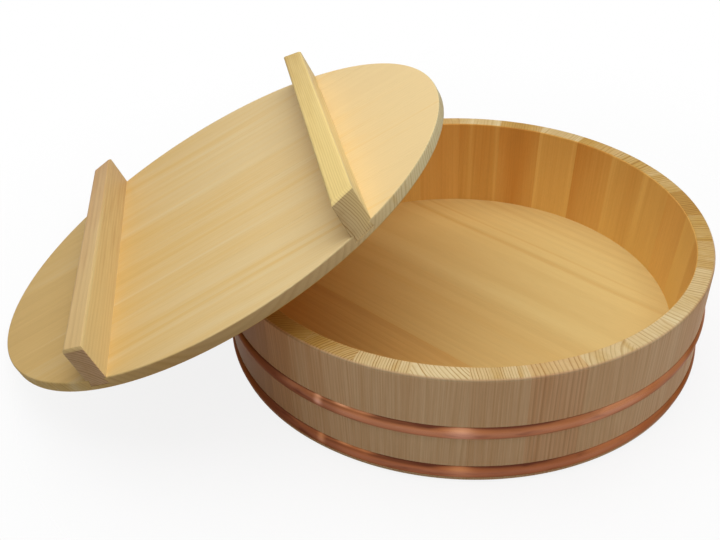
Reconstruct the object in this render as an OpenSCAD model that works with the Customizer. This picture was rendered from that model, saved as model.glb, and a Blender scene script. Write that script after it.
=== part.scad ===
// Coopered wooden tub for dressing sushi rice: a ring of staves held by two
// copper hoops, a bottom let into a groove, and a lid of boards on two cleats.
// Millimetres. The origin is the centre of the foot ring and +Z is up. The lid
// leans on the rim from the -X side, with its lower edge on the table.

/* [Tub wall] */
// Outer radius at the rim
rim_r = 180; // [160:1:210]
// Height of the tub
tub_h = 88.5; // [80:0.5:110]
// How far the outside draws in from the rim to the foot
outer_draw = 4; // [0:0.5:8]
// How far the inside draws in from the rim to the floor
inner_draw = 8; // [2:0.5:9]
// Thickness of the wall at the rim
rim_wall = 13; // [11:0.5:16]
// Number of staves
stave_count = 30; // [24:1:36]
// Angle from +X to the first stave joint, in degrees
first_joint = 7.2; // [0:0.1:12]
// Rounding of the rim's outer edge
rim_round = 2.2; // [0.5:0.1:2.5]
// Rounding of the rim's inner edge
mouth_round = 1.2; // [0.5:0.1:2.5]
// Bevel of both edges of the foot
foot_bevel = 1.2; // [0.5:0.1:2]

/* [Bottom] */
// Height of the floor above the table
floor_z = 18; // [15:0.5:22]
// Thickness of the bottom
bottom_t = 10; // [8:0.5:12]
// Depth of the groove in the staves that holds the bottom
groove_d = 3.5; // [2:0.5:5]
// Thickness of the bottom's edge above its bevel
edge_t = 6; // [4:0.5:8]
// Turn of the bottom boards' grain from +X, in degrees
bottom_grain = -39; // [-90:1:90]
// Places of the seams between the bottom boards, across the grain
bottom_seams = [-57, 14, 90];

/* [Hoops] */
// Width of both hoops
hoop_w = 9.5; // [6:0.5:11]
// Thickness of a hoop at its edges
hoop_edge = 0.5; // [0.3:0.1:1]
// Thickness of a hoop at its crown
hoop_crown = 1.6; // [1.2:0.1:2.5]
// Height of the upper hoop's middle
upper_hoop_z = 43.9; // [30:0.1:50]
// Height of the lower hoop's middle
lower_hoop_z = 9.1; // [7:0.1:12]

/* [Lid] */
// How far the lid stands out past the rim all round
lid_overhang = 8; // [3:0.5:12]
// Thickness of the lid boards
lid_t = 8.4; // [8:0.1:12]
// Rounding of the lid's edge
lid_round = 1; // [0.5:0.1:2]
// Places of the seams between the lid boards, across the grain
lid_seams = [-98, -8, 36, 112];
// Lean of the lid against the rim, in degrees
lid_lean = 27.35; // [22:0.05:40]
// Turn of the lid in its own plane, in degrees
lid_turn = 15; // [-90:1:90]
// Sideways place of the lid's centre
lid_side = 9.8; // [-20:0.1:20]
// Gap between the leaning lid and the rim
lean_gap = 0.3; // [0.2:0.1:1]

/* [Cleats] */
// Width of a cleat
cleat_w = 16; // [14:0.5:20]
// Height of a cleat above the lid
cleat_h = 26.5; // [18:0.5:30]
// Distance between the cleats' middles
cleat_pitch = 195; // [160:1:220]
// Offset of the pair from the lid's centre
cleat_offset = 1.5; // [-5:0.5:5]
// Rounding of a cleat's top edges
cleat_round = 2; // [0.5:0.1:3]
// Bevel over a cleat's ends
cleat_bevel = 2; // [0.5:0.1:3]
// Width of the dovetail at the lid's face
dovetail_neck = 12; // [8:0.5:12]
// Width of the dovetail at its foot
dovetail_foot = 15; // [12.5:0.5:15]
// Depth of the dovetail in the lid
dovetail_d = 5; // [3:0.5:5.5]

/* [Bamboo pins] */
// Radius of the pins in the wall and the bottom
pin_r = 1.5; // [1:0.1:2]
// Radius of the pins in the lid
lid_pin_r = 1.2; // [1:0.1:1.4]
// Length of a pin
pin_l = 20; // [12:1:24]
// Room past each end of a pin
pin_room = 0.5; // [0.2:0.1:1]

/* [Hidden] */
// Facets of a full turn where a round is drawn
round_fn = 180;
pin_fn = 24;
arc_steps = 4;
crown_steps = 8;
// Slack that takes a cutter past the face it cuts
past = 1;

stave_angle = 360 / stave_count;
foot_r = rim_r - outer_draw;
mouth_r = rim_r - rim_wall;
floor_r = mouth_r - inner_draw;
under_z = floor_z - bottom_t;
bottom_r = floor_r + groove_d;
edge_z = floor_z - edge_t;
lid_r = rim_r + lid_overhang;
cleat_top = lid_t + cleat_h;
cleat_places = [cleat_offset - cleat_pitch / 2, cleat_offset + cleat_pitch / 2];
stave_pin_heights = [0.34 * tub_h, 0.76 * tub_h];
bottom_pin_places = [-105, 0, 105];
lid_pin_places = [-145, -50, 50, 145];

// Radius of the wall's outside and inside at height z
function outside_r(z) = foot_r + outer_draw * z / (tub_h - rim_round);
function inside_r(z) =
    floor_r + inner_draw * (z - floor_z) / (tub_h - mouth_round - floor_z);

// Height at which the groove's 45 degree bevel runs out of the wall's inside
groove_low_z =
    (inside_r(0) - bottom_r + edge_z)
    / (1 - inner_draw / (tub_h - mouth_round - floor_z));

// Points on an arc about a centre, from one angle to another
function arc(centre, r, from, to, steps) = [
    for (k = [0 : steps])
        let (a = from + (to - from) * k / steps)
            centre + r * [cos(a), sin(a)]
];

// Outline of the wall in radius and height, with the bottom's groove
wall_outline = concat(
    [[inside_r(foot_bevel), foot_bevel], [inside_r(0) + foot_bevel, 0]],
    [[outside_r(0) - foot_bevel, 0], [outside_r(foot_bevel), foot_bevel]],
    arc([rim_r - rim_round, tub_h - rim_round], rim_round, 0, 90, arc_steps),
    arc([mouth_r + mouth_round, tub_h - mouth_round], mouth_round, 90, 180, arc_steps),
    [[floor_r, floor_z], [bottom_r, floor_z], [bottom_r, edge_z]],
    [[inside_r(groove_low_z), groove_low_z]]
);

// Outline of the bottom in radius and height
bottom_outline = [
    [0, under_z],
    [bottom_r - (edge_z - under_z), under_z],
    [bottom_r, edge_z],
    [bottom_r, floor_z],
    [0, floor_z]
];

// Outline of the lid in radius and height above its underside
lid_outline = concat(
    [[0, 0]],
    arc([lid_r - lid_round, lid_round], lid_round, -90, 0, arc_steps),
    arc([lid_r - lid_round, lid_t - lid_round], lid_round, 0, 90, arc_steps),
    [[0, lid_t]]
);

// Outline that trims the cleats' ends flush with the lid's edge
trim_outline = [
    [0, 0],
    [lid_r, 0],
    [lid_r, cleat_top - cleat_bevel],
    [lid_r - cleat_bevel, cleat_top],
    [0, cleat_top]
];

// Outline of a cleat's dovetail, across the cleat and above the lid's underside
dovetail_outline = [
    [-dovetail_neck / 2, lid_t],
    [-dovetail_foot / 2, lid_t - dovetail_d],
    [dovetail_foot / 2, lid_t - dovetail_d],
    [dovetail_neck / 2, lid_t]
];

// Outline of a cleat with its dovetail
cleat_outline = concat(
    dovetail_outline,
    [[cleat_w / 2, lid_t]],
    arc([cleat_w / 2 - cleat_round, cleat_top - cleat_round], cleat_round, 0, 90, arc_steps),
    arc([cleat_round - cleat_w / 2, cleat_top - cleat_round], cleat_round, 90, 180, arc_steps),
    [[-cleat_w / 2, lid_t]]
);

// The lid's underside centre, worked out so that its lower edge stands on the
// table and its underside clears the rim's rounded edge by the lean gap
lid_z = (lid_r - lid_round) * sin(lid_lean) + lid_round * (1 - cos(lid_lean));
rim_reach = (rim_r - rim_round) * sin(lid_lean) + (tub_h - rim_round) * cos(lid_lean);
lid_x = (lid_z * cos(lid_lean) - rim_reach - rim_round - lean_gap) / sin(lid_lean);

// Tones of sawn cypress, from pale to warm, dealt out among the pieces
wood_tones = ["#E4C08A", "#D9AE74", "#E8C998", "#CF9F62"];
function tone(i) = wood_tones[(i * 5 + floor(i / 3)) % len(wood_tones)];

function two_digits(i) = i < 10 ? str("0", i) : str(i);
function stave_name(i) = str("stave_", two_digits(i));
function bottom_name(i) = str("bottom_board_", i);
function lid_name(i) = str("lid_board_", i);
function joint_angle(i) = first_joint + (i - 1) * stave_angle;

bottom_count = len(bottom_seams) + 1;
lid_count = len(lid_seams) + 1;

// A round pin or bore along X, centred on a joint face
module peg(r, l) {
    rotate([0, 90, 0])
        cylinder(r = r, h = l, center = true, $fn = pin_fn);
}

// Pins or bores of one stave joint, square to the joint face
module joint_pegs(i, l) {
    rotate([0, 0, joint_angle(i)])
        for (z = stave_pin_heights)
            translate([(inside_r(z) + outside_r(z)) / 2, 0, z])
                rotate([0, 0, 90])
                    peg(pin_r, l);
}

// One stave, with its share of the groove and blind bores in both joint faces
module stave(i) {
    color(tone(i))
        difference() {
            rotate([0, 0, joint_angle(i)])
                rotate_extrude(angle = stave_angle, $fn = round_fn)
                    polygon(wall_outline);
            joint_pegs(i, pin_l + 2 * pin_room);
            joint_pegs(i + 1, pin_l + 2 * pin_room);
        }
}

module stave_pins() {
    color("#B8A25A")
        for (i = [1 : stave_count])
            joint_pegs(i, pin_l);
}

// A copper hoop: its inside lies on the tapered wall, its outside is crowned
module hoop(middle_z) {
    low = middle_z - hoop_w / 2;
    crown = [
        for (k = [0 : crown_steps])
            let (s = 2 * k / crown_steps - 1, z = middle_z + s * hoop_w / 2)
                [outside_r(z) + hoop_edge + (hoop_crown - hoop_edge) * (1 - s * s), z]
    ];
    color("#B8683F")
        rotate_extrude($fn = round_fn)
            polygon(concat(
                [[outside_r(low + hoop_w), low + hoop_w], [outside_r(low), low]],
                crown
            ));
}

// Room between two seams of a round board of radius r, over the height given
module board_room(seams, i, r, height) {
    ends = concat([-r - past], seams, [r + past]);
    translate([-r - past, ends[i - 1], height[0] - past])
        cube([2 * (r + past), ends[i] - ends[i - 1], height[1] - height[0] + 2 * past]);
}

// Pins or bores across the bottom's seams
module bottom_pegs(l) {
    for (y = bottom_seams, x = bottom_pin_places)
        translate([x, y, (under_z + floor_z) / 2])
            rotate([0, 0, 90])
                peg(pin_r, l);
}

module bottom_board(i) {
    color(tone(i + 1))
        rotate([0, 0, bottom_grain])
            difference() {
                intersection() {
                    rotate_extrude($fn = round_fn)
                        polygon(bottom_outline);
                    board_room(bottom_seams, i, bottom_r, [under_z, floor_z]);
                }
                bottom_pegs(pin_l + 2 * pin_room);
            }
}

module bottom_pins() {
    color("#B8A25A")
        rotate([0, 0, bottom_grain])
            bottom_pegs(pin_l);
}

// Sets the lid's own frame against the rim: grain along X, cleats along Y
module on_lid() {
    translate([lid_x, lid_side, lid_z])
        rotate([0, -lid_lean, 0])
            rotate([0, 0, lid_turn])
                children();
}

// Pins or bores across the lid's seams, where the lid is wide enough for them
module lid_pegs(l) {
    for (y = lid_seams, x = lid_pin_places)
        if (norm([abs(x) + lid_pin_r, abs(y) + l / 2]) < lid_r - 2 * lid_round)
            translate([x, y, lid_t / 2])
                rotate([0, 0, 90])
                    peg(lid_pin_r, l);
}

module along_lid(x, outline) {
    translate([x, 0, 0])
        rotate([90, 0, 0])
            linear_extrude(height = 2 * (lid_r + past), center = true)
                polygon(outline);
}

// A lid board, with the cleats' dovetail slots across it
module lid_board(i) {
    color(tone(i + 2))
        on_lid()
            difference() {
                intersection() {
                    rotate_extrude($fn = round_fn)
                        polygon(lid_outline);
                    board_room(lid_seams, i, lid_r, [0, lid_t]);
                }
                for (x = cleat_places)
                    along_lid(x, dovetail_outline);
                lid_pegs(pin_l + 2 * pin_room);
            }
}

module lid_pins() {
    color("#B8A25A")
        on_lid()
            lid_pegs(pin_l);
}

// A cleat, let into the lid by its dovetail and trimmed flush with the lid's edge
module cleat(x) {
    color("#DDB67E")
        on_lid()
            intersection() {
                along_lid(x, cleat_outline);
                rotate_extrude($fn = round_fn)
                    polygon(trim_outline);
            }
}

for (i = [1 : stave_count])
    stave(i);
stave_pins();
hoop(upper_hoop_z);  // upper_hoop
hoop(lower_hoop_z);  // lower_hoop
for (i = [1 : bottom_count])
    bottom_board(i);
bottom_pins();
for (i = [1 : lid_count])
    lid_board(i);
lid_pins();
cleat(cleat_places[0]);  // lower_cleat
cleat(cleat_places[1]);  // upper_cleat
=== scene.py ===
"""Looks of the sushi rice tub: cypress staves in copper hoops, a board bottom and a board lid."""

from __future__ import annotations

import logging
import math
import random
from abc import ABC, abstractmethod
from collections.abc import Sequence
from dataclasses import dataclass, fields, replace
from enum import Enum

import bmesh
import bpy
from bpy.types import ID, Material, Mesh, NodeSocket, NodeTree, Object
from mathutils import Matrix, Vector


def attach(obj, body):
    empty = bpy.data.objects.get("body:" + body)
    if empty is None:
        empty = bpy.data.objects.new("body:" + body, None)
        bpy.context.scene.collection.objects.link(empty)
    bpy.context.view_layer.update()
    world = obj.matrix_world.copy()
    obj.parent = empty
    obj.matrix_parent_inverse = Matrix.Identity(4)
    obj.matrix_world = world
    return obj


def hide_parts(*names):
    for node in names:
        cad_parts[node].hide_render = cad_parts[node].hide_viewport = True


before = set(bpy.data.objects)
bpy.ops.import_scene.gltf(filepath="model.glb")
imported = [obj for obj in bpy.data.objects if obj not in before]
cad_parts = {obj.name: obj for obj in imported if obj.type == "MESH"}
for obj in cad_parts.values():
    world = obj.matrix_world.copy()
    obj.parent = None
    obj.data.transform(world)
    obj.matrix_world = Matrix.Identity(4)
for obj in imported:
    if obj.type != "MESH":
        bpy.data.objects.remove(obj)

LOG = logging.getLogger("rice_tub")
MM = 0.001  # metres in a millimetre
PER_100 = 0.01  # turns a change over 100 millimetres into the change over one
SHARP = 32.0  # degrees between two faces past which their edge is shaded sharp
CLOSE = 1e-7  # lengths that differ by less are taken as equal
UP = Vector((0, 0, 1))
Point = tuple[float, float]
Triple = tuple[float, float, float]
Colour = tuple[float, float, float, float]
WHITE: Colour = (1.0, 1.0, 1.0, 1.0)


class Slot(Enum):
    """The record's material slots, one for each kind of finer piece."""

    STAVE = "stave_wood"
    BOTTOM = "bottom_wood"
    LID = "lid_wood"
    CLEAT = "cleat_wood"
    COPPER = "copper"


class Body(Enum):
    """The bodies that pieces ride on."""

    TUB = "tub"
    LID = "lid"


# Node trees


class Value:
    """A node's output that takes part in Python arithmetic: each operator adds a Math node."""

    def __init__(self, sheet: Sheet, socket: NodeSocket) -> None:
        """Keep the socket and the sheet that holds its node."""
        self.sheet = sheet
        self.socket = socket

    def __add__(self, other: Value | float) -> Value:
        """Sum."""
        return self.sheet.math("ADD", self, other)

    __radd__ = __add__

    def __sub__(self, other: Value | float) -> Value:
        """Difference."""
        return self.sheet.math("SUBTRACT", self, other)

    def __rsub__(self, other: float) -> Value:
        """Difference with this value on the right."""
        return self.sheet.math("SUBTRACT", other, self)

    def __mul__(self, other: Value | float) -> Value:
        """Product."""
        return self.sheet.math("MULTIPLY", self, other)

    __rmul__ = __mul__

    def __truediv__(self, other: Value | float) -> Value:
        """Quotient."""
        return self.sheet.math("DIVIDE", self, other)

    def __abs__(self) -> Value:
        """Size without its sign."""
        return self.sheet.math("ABSOLUTE", self)

    def other(self, name: str) -> Value:
        """Another output of the same node."""
        return Value(self.sheet, self.socket.node.outputs[name])


class Sheet:
    """A shader or geometry node tree that is being built."""

    def __init__(self, tree: NodeTree) -> None:
        """Start from a tree."""
        self.tree = tree

    def node(
        self,
        kind: str,
        settings: dict[str, object] | None = None,
        values: dict[str | int, object] | None = None,
        out: str | int = 0,
    ) -> Value:
        """Add one node.

        Args:
            kind: the node's type name.
            settings: its properties, which are set before its sockets.
            values: its input sockets by name or number, as numbers, vectors or links.
            out: the output that is returned.

        Returns:
            The chosen output, or the first input of a node that has no output.
        """
        node = self.tree.nodes.new(kind)
        for name, setting in (settings or {}).items():
            setattr(node, name, setting)
        for key, value in (values or {}).items():
            if isinstance(value, Value):
                self.tree.links.new(value.socket, node.inputs[key])
            else:
                node.inputs[key].default_value = value
        return Value(self, node.outputs[out] if len(node.outputs) else node.inputs[0])

    def math(self, operation: str, *values: Value | float) -> Value:
        """Add a Math node on one, two or three values."""
        return self.node("ShaderNodeMath", {"operation": operation}, dict(enumerate(values)))

    def vector_math(self, operation: str, *values: object, out: str = "Vector") -> Value:
        """Add a Vector Math node."""
        inputs = dict(enumerate(values))
        return self.node("ShaderNodeVectorMath", {"operation": operation}, inputs, out)

    def step(
        self, value: Value, low: Value | float, high: Value | float, top: float = 1.0
    ) -> Value:
        """Smooth step of a value, from 0 at low to top at high, which may be the smaller one."""
        inputs = {"Value": value, "From Min": low, "From Max": high, "To Max": top}
        return self.node("ShaderNodeMapRange", {"interpolation_type": "SMOOTHSTEP"}, inputs)

    def mix(self, factor: Value | float, a: object, b: object, mode: str = "MIX") -> Value:
        """Mix two colours.

        Args:
            factor: share of the second colour.
            a: first colour.
            b: second colour.
            mode: blend mode.

        Returns:
            The mixed colour.
        """
        settings = {"data_type": "RGBA", "blend_type": mode, "clamp_factor": True}
        return self.node("ShaderNodeMix", settings, {0: factor, 6: a, 7: b}, out=2)

    def combine(self, x: Value | float, y: Value | float, z: Value | float) -> Value:
        """Vector from three values."""
        return self.node("ShaderNodeCombineXYZ", values={0: x, 1: y, 2: z})

    def split(self, vector: Value) -> tuple[Value, Value, Value]:
        """The three parts of a vector."""
        x = self.node("ShaderNodeSeparateXYZ", values={0: vector})
        return x, x.other("Y"), x.other("Z")

    def attribute(self, name: str) -> Value:
        """A number that the mesh carries at each point."""
        return self.node("ShaderNodeAttribute", {"attribute_name": name}, out="Fac")

    def here(self) -> Value:
        """Object coordinates, in metres."""
        return self.node("ShaderNodeTexCoord", out="Object")

    def facing(self, axis: Vector | Value) -> Value:
        """How squarely the surface faces along an axis, from -1 to 1."""
        pair = self.node("ShaderNodeTexCoord", out="Normal"), axis
        return self.vector_math("DOT_PRODUCT", *pair, out="Value")

    def noise(
        self, spot: Value, size: Sequence[float], seed: Value | float, detail: float = 2.0
    ) -> Value:
        """Noise about zero, with its own length along each axis.

        Args:
            spot: place in millimetres.
            size: length of the noise along each axis, in millimetres.
            seed: moves the pattern, so that no two pieces are alike.
            detail: octaves.

        Returns:
            A value mostly between -0.3 and 0.3.
        """
        scaled = self.vector_math("DIVIDE", spot, tuple(size))
        moved = self.vector_math("ADD", scaled, self.combine(seed, seed, seed))
        values = {"Vector": moved, "Scale": 1.0, "Detail": detail}
        return self.node("ShaderNodeTexNoise", values=values) - 0.5

    def bump(self, height: Value, strength: float = 0.5) -> Value:
        """Normal bent by a height in millimetres."""
        values = {"Strength": strength, "Distance": MM, "Height": height}
        return self.node("ShaderNodeBump", values=values)

    def surface(self, **values: object) -> None:
        """Finish a material with a Principled surface.

        Args:
            values: numbers, colours or links of its sockets, named with underscores for spaces.
        """
        named = {key.replace("_", " "): value for key, value in values.items()}
        shader = self.node("ShaderNodeBsdfPrincipled", values=named)
        self.node("ShaderNodeOutputMaterial", values={"Surface": shader})


@dataclass(frozen=True)
class Ramp:
    """A smooth step with its own ends and strength."""

    low: float
    high: float
    strength: float = 1.0

    def of(self, value: Value) -> Value:
        """0 where the value is low, and the strength where it is high."""
        return value.sheet.step(value, self.low, self.high, self.strength)


class GrowthTree(Sheet):
    """A geometry node tree with named inputs, run once on an object and turned into its mesh."""

    def __init__(self, name: str, inputs: dict[str, tuple[str, object]]) -> None:
        """Make the tree.

        Args:
            name: the tree's name.
            inputs: for each named input, its socket type and the value that it gets.
        """
        super().__init__(bpy.data.node_groups.new(name, "GeometryNodeTree"))
        face = self.tree.interface
        face.new_socket("Geometry", in_out="INPUT", socket_type="NodeSocketGeometry")
        face.new_socket("Geometry", in_out="OUTPUT", socket_type="NodeSocketGeometry")
        self.settings: dict[str, object] = {}
        for label, (kind, value) in inputs.items():
            socket = face.new_socket(label, in_out="INPUT", socket_type=kind)
            self.settings[socket.identifier] = value
        self.group_input = self.node("NodeGroupInput")

    def given(self, label: str) -> Value:
        """One of the tree's named inputs."""
        return self.group_input.other(label)

    def end(self, geometry: Value) -> None:
        """Finish the tree with Realize Instances and Set Material.

        Args:
            geometry: what the tree has made.
        """
        real = self.node("GeometryNodeRealizeInstances", values={"Geometry": geometry})
        values = {"Geometry": real, "Material": self.given("Finish")}
        dressed = self.node("GeometryNodeSetMaterial", values=values)
        self.node("NodeGroupOutput", values={0: dressed})

    def grow(self, seedling: Object) -> Object:
        """Run the tree on an object and keep the result as the object's plain mesh.

        Args:
            seedling: the object that the tree starts from.

        Returns:
            The same object.
        """
        modifier = seedling.modifiers.new(self.tree.name, "NODES")
        modifier.node_group = self.tree
        for identifier, value in self.settings.items():
            modifier[identifier] = value
        return bake_modifiers(seedling)


def new_sheet(name: str) -> tuple[Material, Sheet]:
    """Make a material with nothing in its node tree.

    Args:
        name: the material's name.

    Returns:
        The material and its sheet.
    """
    material = bpy.data.materials.new(name)
    material.use_nodes = True
    material.node_tree.nodes.clear()
    return material, Sheet(material.node_tree)


# Meshes


def bake_modifiers(obj: Object) -> Object:
    """Put an object's evaluated mesh in its own data and take its modifiers off.

    Args:
        obj: an object with modifiers.

    Returns:
        The same object.
    """
    bpy.context.view_layer.update()
    evaluated = obj.evaluated_get(bpy.context.evaluated_depsgraph_get())
    mesh = bpy.data.meshes.new_from_object(evaluated)
    obj.modifiers.clear()
    obj.data = mesh
    mesh.name = obj.name
    return obj


def new_object(name: str, data: ID) -> Object:
    """Link an object to the scene, at the origin.

    Args:
        name: the object's name.
        data: its mesh, light or camera.

    Returns:
        The object.
    """
    obj = bpy.data.objects.new(name, data)
    bpy.context.scene.collection.objects.link(obj)
    return obj


def shade(mesh: Mesh) -> None:
    """Shade a mesh smooth, apart from its sharp edges."""
    mesh.polygons.foreach_set("use_smooth", [True] * len(mesh.polygons))
    mesh.set_sharp_from_angle(angle=math.radians(SHARP))


def arc(centre: Point, radius: float, start: float, end: float, steps: int = 6) -> list[Point]:
    """Points on an arc.

    Args:
        centre: the arc's centre.
        radius: its radius.
        start: first angle in degrees.
        end: last angle in degrees.
        steps: number of chords.

    Returns:
        steps + 1 points.
    """
    turns = [math.radians(start + (end - start) * k / steps) for k in range(steps + 1)]
    return [(centre[0] + radius * math.cos(t), centre[1] + radius * math.sin(t)) for t in turns]


def inset(outline: Sequence[Point], depth: float) -> list[Point]:
    """Move an outline inwards, with mitred corners.

    Args:
        outline: points of a closed outline, anticlockwise.
        depth: how far each side moves.

    Returns:
        As many points as before.
    """
    normals = []
    for (x0, y0), (x1, y1) in zip(outline, [*outline[1:], outline[0]]):
        length = math.hypot(x1 - x0, y1 - y0)
        normals.append(((y0 - y1) / length, (x1 - x0) / length))
    moved = []
    for i, (x, y) in enumerate(outline):
        (ax, ay), (bx, by) = normals[i - 1], normals[i]
        reach = depth / (1 + ax * bx + ay * by)
        moved.append((x + (ax + bx) * reach, y + (ay + by) * reach))
    return moved


def braced(outline: Sequence[Point], reach: float = 0.35) -> list[Point]:
    """Add a point near both ends of each long side, so that rounded corners don't shade the flats.

    Args:
        outline: points of a closed outline.
        reach: distance of an added point from the corner. A long side has room for four.

    Returns:
        The outline with the added points.
    """
    out: list[Point] = []
    for (x0, y0), (x1, y1) in zip(outline, [*outline[1:], outline[0]]):
        out.append((x0, y0))
        length = math.hypot(x1 - x0, y1 - y0)
        if length > 4 * reach:
            for share in (reach / length, 1 - reach / length):
                out.append((x0 + (x1 - x0) * share, y0 + (y1 - y0) * share))
    return out


def loft(rings: Sequence[Sequence[Vector]], capped: bool = True) -> bmesh.types.BMesh:
    """Skin closed rings of equal length, in order.

    Args:
        rings: the rings' points.
        capped: whether a flat face closes the first and the last ring.

    Returns:
        The skin.
    """
    solid = bmesh.new()
    rows = [[solid.verts.new(p) for p in ring] for ring in rings]
    for a, b in zip(rows, rows[1:]):
        for i in range(len(a)):
            j = (i + 1) % len(a)
            solid.faces.new((a[i], b[i], b[j], a[j]))
    if capped:
        solid.faces.new(rows[0])
        solid.faces.new(reversed(rows[-1]))
    solid.verts.ensure_lookup_table()
    return solid


def to_mesh(solid: bmesh.types.BMesh, name: str) -> Mesh:
    """Free a bmesh into a new mesh with smooth shading.

    Args:
        solid: the bmesh, which is gone afterwards.
        name: the mesh's name.

    Returns:
        The mesh.
    """
    mesh = bpy.data.meshes.new(name)
    solid.to_mesh(mesh)
    solid.free()
    shade(mesh)
    return mesh


def settle(obj: Object, body: Body, slot: Slot, nodes: Sequence[str]) -> None:
    """Hand a finished piece over to the frame.

    Args:
        obj: the piece.
        body: the body that it rides on.
        slot: the slot of its finish; not used.
        nodes: the CAD nodes that it stands for.
    """
    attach(obj, body.value)
    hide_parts(*nodes)
    faces = len(obj.data.polygons)
    LOG.info("%s: %d faces on %s, for %d nodes", obj.name, faces, body.value, len(nodes))


# Wood


@dataclass(frozen=True)
class Vein:
    """A streak of other wood along the grain, as numbers or as links to the mesh's attributes."""

    place: Value | float = 0.0  # millimetres across the piece
    width: Value | float = 1.0  # half its width, in millimetres
    tone: Value | float = 0.0  # change of tone in its middle


@dataclass(frozen=True)
class Growth:
    """How wood grew where a piece was sawn, as numbers or as links to the mesh's attributes."""

    tone: Value | float
    end_tone: Value | float
    drift: Value | float
    fade: Value | float
    red: Value | float
    gap: Value | float
    contrast: Value | float
    end_contrast: Value | float
    seed: Value | float
    pith_across: Value | float
    pith_depth: Value | float
    veins: tuple[Vein, ...] = ()

    @classmethod
    def links(cls) -> list[str]:
        """Names of everything but the veins."""
        return [item.name for item in fields(cls) if item.name != "veins"]


@dataclass(frozen=True)
class Timber:
    """One sawn piece of cypress."""

    tone: float = 0.35  # 0 is pale sapwood, 1 is dark heartwood
    red: float = 0.2  # share of red in the growth lines
    slant: float = 0.0  # lean of the growth lines across the piece, in degrees
    gap: float = 2.4  # millimetres between growth lines
    pith: float = 160.0  # millimetres from the piece's middle to the tree's pith
    contrast: float = 0.3  # strength of the growth lines on the long sides
    seed: float = 0.0  # moves every pattern
    end_contrast: float = 0.6  # strength of the growth lines on the end grain
    end_tone: float = 0.0  # change of tone on the end grain
    drift: float = 0.0  # change of tone over 100 millimetres across
    fade: float = 0.0  # change of tone over 100 millimetres along
    veins: tuple[Triple, ...] = ()  # place, half width and tone of each vein

    def growth(self) -> Growth:
        """Work out the numbers that the shader needs.

        Returns:
            The same wood, with the pith's place across the piece and in its depth.
        """
        lean = math.radians(self.slant)
        own = {name: getattr(self, name, 0.0) for name in Growth.links()}
        own["pith_across"] = self.pith * math.cos(lean)
        own["pith_depth"] = -self.pith * math.sin(lean)
        return Growth(**own, veins=tuple(Vein(*vein) for vein in self.veins))


class Lie(ABC):
    """How a piece's wood lies in it."""

    EDGE = (Ramp(0.15, 0.5), Ramp(0.985, 0.85))  # where a rounded edge leaves its two sides

    @abstractmethod
    def place(self, sheet: Sheet) -> Value:
        """Place along the grain, across it and in depth, in millimetres."""

    @abstractmethod
    def end_cut(self, sheet: Sheet) -> Value:
        """How squarely the surface cuts the grain, from 0 to 1."""

    @abstractmethod
    def inside(self, sheet: Sheet) -> Value | float:
        """How squarely the surface faces the rice, from 0 to 1."""

    @abstractmethod
    def shell(self, sheet: Sheet) -> Value | float:
        """How squarely it faces away from the piece's middle, along its grain, from 0 to 1."""

    @abstractmethod
    def upwards(self, sheet: Sheet) -> Value:
        """How squarely the surface faces up or down in the piece's own frame, from 0 to 1."""

    @abstractmethod
    def growth(self, sheet: Sheet) -> Growth:
        """How the wood grew."""

    def rounded_edge(self, sheet: Sheet) -> Value:
        """How much the surface belongs to a rounded upper or under edge, from 0 to 1."""
        up = self.upwards(sheet)
        return self.EDGE[0].of(up) * self.EDGE[1].of(up)


@dataclass(frozen=True)
class BoardLie(Lie):
    """Wood of one board, whose own x runs along the grain and whose z is its upper side."""

    matrix: Matrix
    timber: Timber
    steep: float = 0.0  # strength of the painted bounce tint on the rice side: above 0 on top, below 0 underneath

    # How squarely a surface has to face a way to count
    END = Ramp(0.45, 0.9)
    SHELL = Ramp(0.75, 1.0)
    INSIDE = Ramp(0.1, 0.8)

    def place(self, sheet: Sheet) -> Value:
        """Find the place in the board's own frame.

        Args:
            sheet: the material's nodes.

        Returns:
            The place in millimetres.
        """
        values = {
            "Vector": sheet.here(),
            "Location": self.matrix.to_translation(),
            "Rotation": self.matrix.to_euler(),
            "Scale": (MM, MM, MM),
        }
        return sheet.node("ShaderNodeMapping", {"vector_type": "TEXTURE"}, values)

    def end_cut(self, sheet: Sheet) -> Value:
        """End grain shows where the surface faces along the board."""
        return self.END.of(abs(sheet.facing(self.matrix.col[0].xyz)))

    def inside(self, sheet: Sheet) -> Value | float:
        """Pick the side to the rice.

        Args:
            sheet: the material's nodes.

        Returns:
            How squarely the surface faces the rice, times the strength of its painted bounce tint.
        """
        if not self.steep:
            return 0.0
        up = self.matrix.col[2].xyz * math.copysign(1, self.steep)
        return replace(self.INSIDE, strength=abs(self.steep)).of(sheet.facing(up))

    def upwards(self, sheet: Sheet) -> Value:
        """Against the board's own z axis."""
        return abs(sheet.facing(self.matrix.col[2].xyz))

    def shell(self, sheet: Sheet) -> Value:
        """The board's long edges."""
        return self.SHELL.of(abs(sheet.facing(self.matrix.col[1].xyz)))

    def growth(self, sheet: Sheet) -> Growth:
        """The board's own numbers."""
        return self.timber.growth()


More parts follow.
